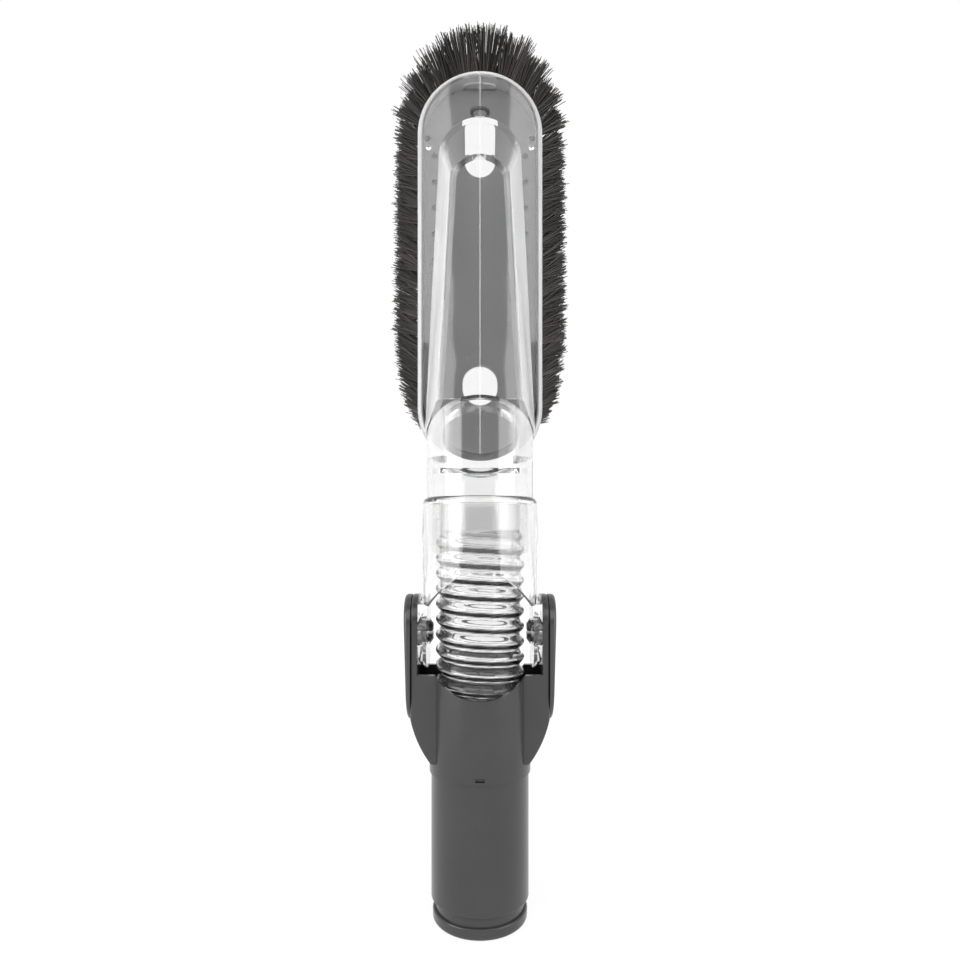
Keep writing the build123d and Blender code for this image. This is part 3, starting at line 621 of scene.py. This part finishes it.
rows_of_tufts = {
    "bristles_outer": ("bristle_tufts_outer", 7, tuft_seats(18.8, 10.0, 13.0, 12.0, 13.0, 0.25, 17.7, 30.3)),
    "bristles_inner": ("bristle_tufts_inner", 19, tuft_seats(14.8, 12.0, 8.0, 11.0, 18.0, 0.75, 18.6, 30.3)),
}
for row_name, (node_name, seed, seats) in rows_of_tufts.items():
    seat_mesh = bpy.data.meshes.new(row_name)
    seat_mesh.from_pydata([place * mm for place, way, run, length in seats], [], [])
    ways = seat_mesh.attributes.new("way", "FLOAT_VECTOR", "POINT")
    ways.data.foreach_set("vector", [v for place, way, run, length in seats for v in way])
    runs = seat_mesh.attributes.new("run", "FLOAT_VECTOR", "POINT")
    runs.data.foreach_set("vector", [v for place, way, run, length in seats for v in run])
    reaches = seat_mesh.attributes.new("reach", "FLOAT", "POINT")
    reaches.data.foreach_set("value", [length * mm for place, way, run, length in seats])
    bristles = bpy.data.objects.new(row_name, seat_mesh)
    bpy.context.scene.collection.objects.link(bristles)
    values = {label: value for label, (kind, value) in tuft_sizes.items()}
    values["Seed"] = seed
    grow(bristles, tuft_tree, values)
    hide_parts(node_name)
    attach(bristles, "head")


# Anchors.
# Short flat steel wires at the bottom of the tuft holes. Each is punched in across its hole and holds
# the folded filaments down.
anchor_steel = grey_moulding("anchor_steel", (0.48, 0.48, 0.49), (0.58, 0.58, 0.59), 0.35, 0.1)
anchor_steel.node_tree.nodes["Principled BSDF"].inputs["Metallic"].default_value = 1.0
dress(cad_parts["tuft_anchors"], anchor_steel)


# Studio.
# A pale floor under a white sweep, with a broad soft light on each side and two panels above. The camera
# stands a little above the joint and looks level.
floor_mesh = bpy.data.meshes.new("floor")
floor_half = 3.0
floor_mesh.from_pydata(
    [(floor_half * x, floor_half * y, 0) for x, y in ((-1, -1), (1, -1), (1, 1), (-1, 1))],
    [],
    [(0, 1, 2, 3)],
)
floor = bpy.data.objects.new("floor", floor_mesh)
floor.location.z = -0.0002
bpy.context.scene.collection.objects.link(floor)
floor_white = bpy.data.materials.new("floor_white")
floor_white.use_nodes = True
floor_tree = floor_white.node_tree
floor_shader = floor_tree.nodes["Principled BSDF"]
floor_shader.inputs["Base Color"].default_value = (0.9, 0.9, 0.9, 1)
floor_shader.inputs["Roughness"].default_value = 0.8
floor_glow = floor_tree.nodes.new("ShaderNodeEmission")
floor_glow.inputs["Strength"].default_value = 1.1
floor_paths = floor_tree.nodes.new("ShaderNodeLightPath")
floor_seen = floor_tree.nodes.new("ShaderNodeMath")
floor_seen.operation = "MAXIMUM"
floor_seen_glass = floor_tree.nodes.new("ShaderNodeMath")
floor_seen_glass.operation = "MAXIMUM"
floor_share = floor_tree.nodes.new("ShaderNodeMath")
floor_share.operation = "MULTIPLY"
floor_spot = lay(floor_tree, "ShaderNodeTexCoord").outputs["Object"]
floor_place = lay(floor_tree, "ShaderNodeVectorMath", {0: floor_spot}, operation="LENGTH")
# The shadow shows near the object, and the floor melts into the sweep farther out
floor_far = lay(
    floor_tree,
    "ShaderNodeMapRange",
    {
        "Value": floor_place.outputs["Value"],
        "From Min": 0.05,
        "From Max": 0.25,
        "To Min": 0.8,
        "To Max": 1.0,
    },
)
floor_mix = floor_tree.nodes.new("ShaderNodeMixShader")
floor_link = floor_tree.links.new
floor_link(floor_paths.outputs["Is Camera Ray"], floor_seen.inputs[0])
floor_link(floor_paths.outputs["Is Glossy Ray"], floor_seen.inputs[1])
floor_link(floor_seen.outputs[0], floor_seen_glass.inputs[0])
floor_link(floor_paths.outputs["Is Transmission Ray"], floor_seen_glass.inputs[1])
floor_link(floor_seen_glass.outputs[0], floor_share.inputs[0])
floor_link(floor_far.outputs["Result"], floor_share.inputs[1])
floor_link(floor_share.outputs[0], floor_mix.inputs["Fac"])
floor_link(floor_shader.outputs["BSDF"], floor_mix.inputs[1])
floor_link(floor_glow.outputs["Emission"], floor_mix.inputs[2])
floor_link(floor_mix.outputs["Shader"], floor_tree.nodes["Material Output"].inputs["Surface"])
floor_mesh.materials.append(floor_white)

studio = bpy.data.worlds.new("studio")
bpy.context.scene.world = studio
studio.use_nodes = True
sky = studio.node_tree
soft = sky.nodes["Background"]
soft.inputs["Color"].default_value = (0.35, 0.35, 0.355, 1)
soft.inputs["Strength"].default_value = 1.0
paths = sky.nodes.new("ShaderNodeLightPath")
white = lay(sky, "ShaderNodeBackground", {"Color": (1, 1, 1, 1), "Strength": 1.0})
# In gloss the room behind the camera is dark. Through glass the sweep is white, with the dark of the
# ceiling high above it.
toward = lay(sky, "ShaderNodeSeparateXYZ", {0: lay(sky, "ShaderNodeTexCoord").outputs["Generated"]})
walls = lay(
    sky,
    "ShaderNodeMapRange",
    {"Value": toward.outputs["Y"], "From Min": -0.4, "From Max": 0.0, "To Min": 0.12, "To Max": 1.0},
    interpolation_type="SMOOTHSTEP",
)
ceiling = lay(
    sky,
    "ShaderNodeMapRange",
    {"Value": toward.outputs["Z"], "From Min": 0.6, "From Max": 0.75, "To Min": 1.0, "To Max": 0.05},
    interpolation_type="SMOOTHSTEP",
)
seen = lay(
    sky,
    "ShaderNodeMix",
    {0: paths.outputs["Is Glossy Ray"], 2: ceiling.outputs["Result"], 3: walls.outputs[0]},
)
sweep = lay(sky, "ShaderNodeBackground", {"Color": (1, 1, 1, 1), "Strength": seen.outputs[0]})
through = sum_of(sky, "MAXIMUM", paths.outputs["Is Glossy Ray"], paths.outputs["Is Transmission Ray"])
in_glass = lay(sky, "ShaderNodeMixShader", {0: through, 1: soft.outputs[0], 2: sweep.outputs[0]})
backdrop = lay(
    sky,
    "ShaderNodeMixShader",
    {0: paths.outputs["Is Camera Ray"], 1: in_glass.outputs[0], 2: white.outputs[0]},
)
sky.links.new(backdrop.outputs[0], sky.nodes["World Output"].inputs["Surface"])

for lamp_name, lamp_place, lamp_width, lamp_height, lamp_watts in (
    ("left_softbox", (-0.5, -0.3, 0.2), 0.4, 0.6, 3.2),
    ("right_softbox", (0.5, -0.3, 0.2), 0.4, 0.6, 2.3),
    ("left_panel", (-0.26, -0.6, 0.6), 0.45, 0.5, 1.7),
    ("right_panel", (0.26, -0.6, 0.6), 0.45, 0.5, 1.7),
):
    lamp = bpy.data.lights.new(lamp_name, "AREA")
    lamp.shape = "RECTANGLE"
    lamp.size = lamp_width
    lamp.size_y = lamp_height
    lamp.energy = lamp_watts
    softbox = bpy.data.objects.new(lamp_name, lamp)
    softbox.location = lamp_place
    aim = Vector((0, 0, 0.15)) - softbox.location
    if "panel" in lamp_name:
        aim.x = 0
    softbox.rotation_euler = aim.to_track_quat("-Z", "Y").to_euler()
    bpy.context.scene.collection.objects.link(softbox)

eye = bpy.data.cameras.new("eye")
eye.sensor_width = 36.0
eye.lens = 25.7
eye.shift_y = 0.0583
camera = bpy.data.objects.new("eye", eye)
camera.location = (0, -0.226, 0.125)
camera.rotation_euler = (radians(90), 0, 0)
bpy.context.scene.collection.objects.link(camera)
bpy.context.scene.camera = camera
bpy.context.scene.view_settings.view_transform = "Standard"
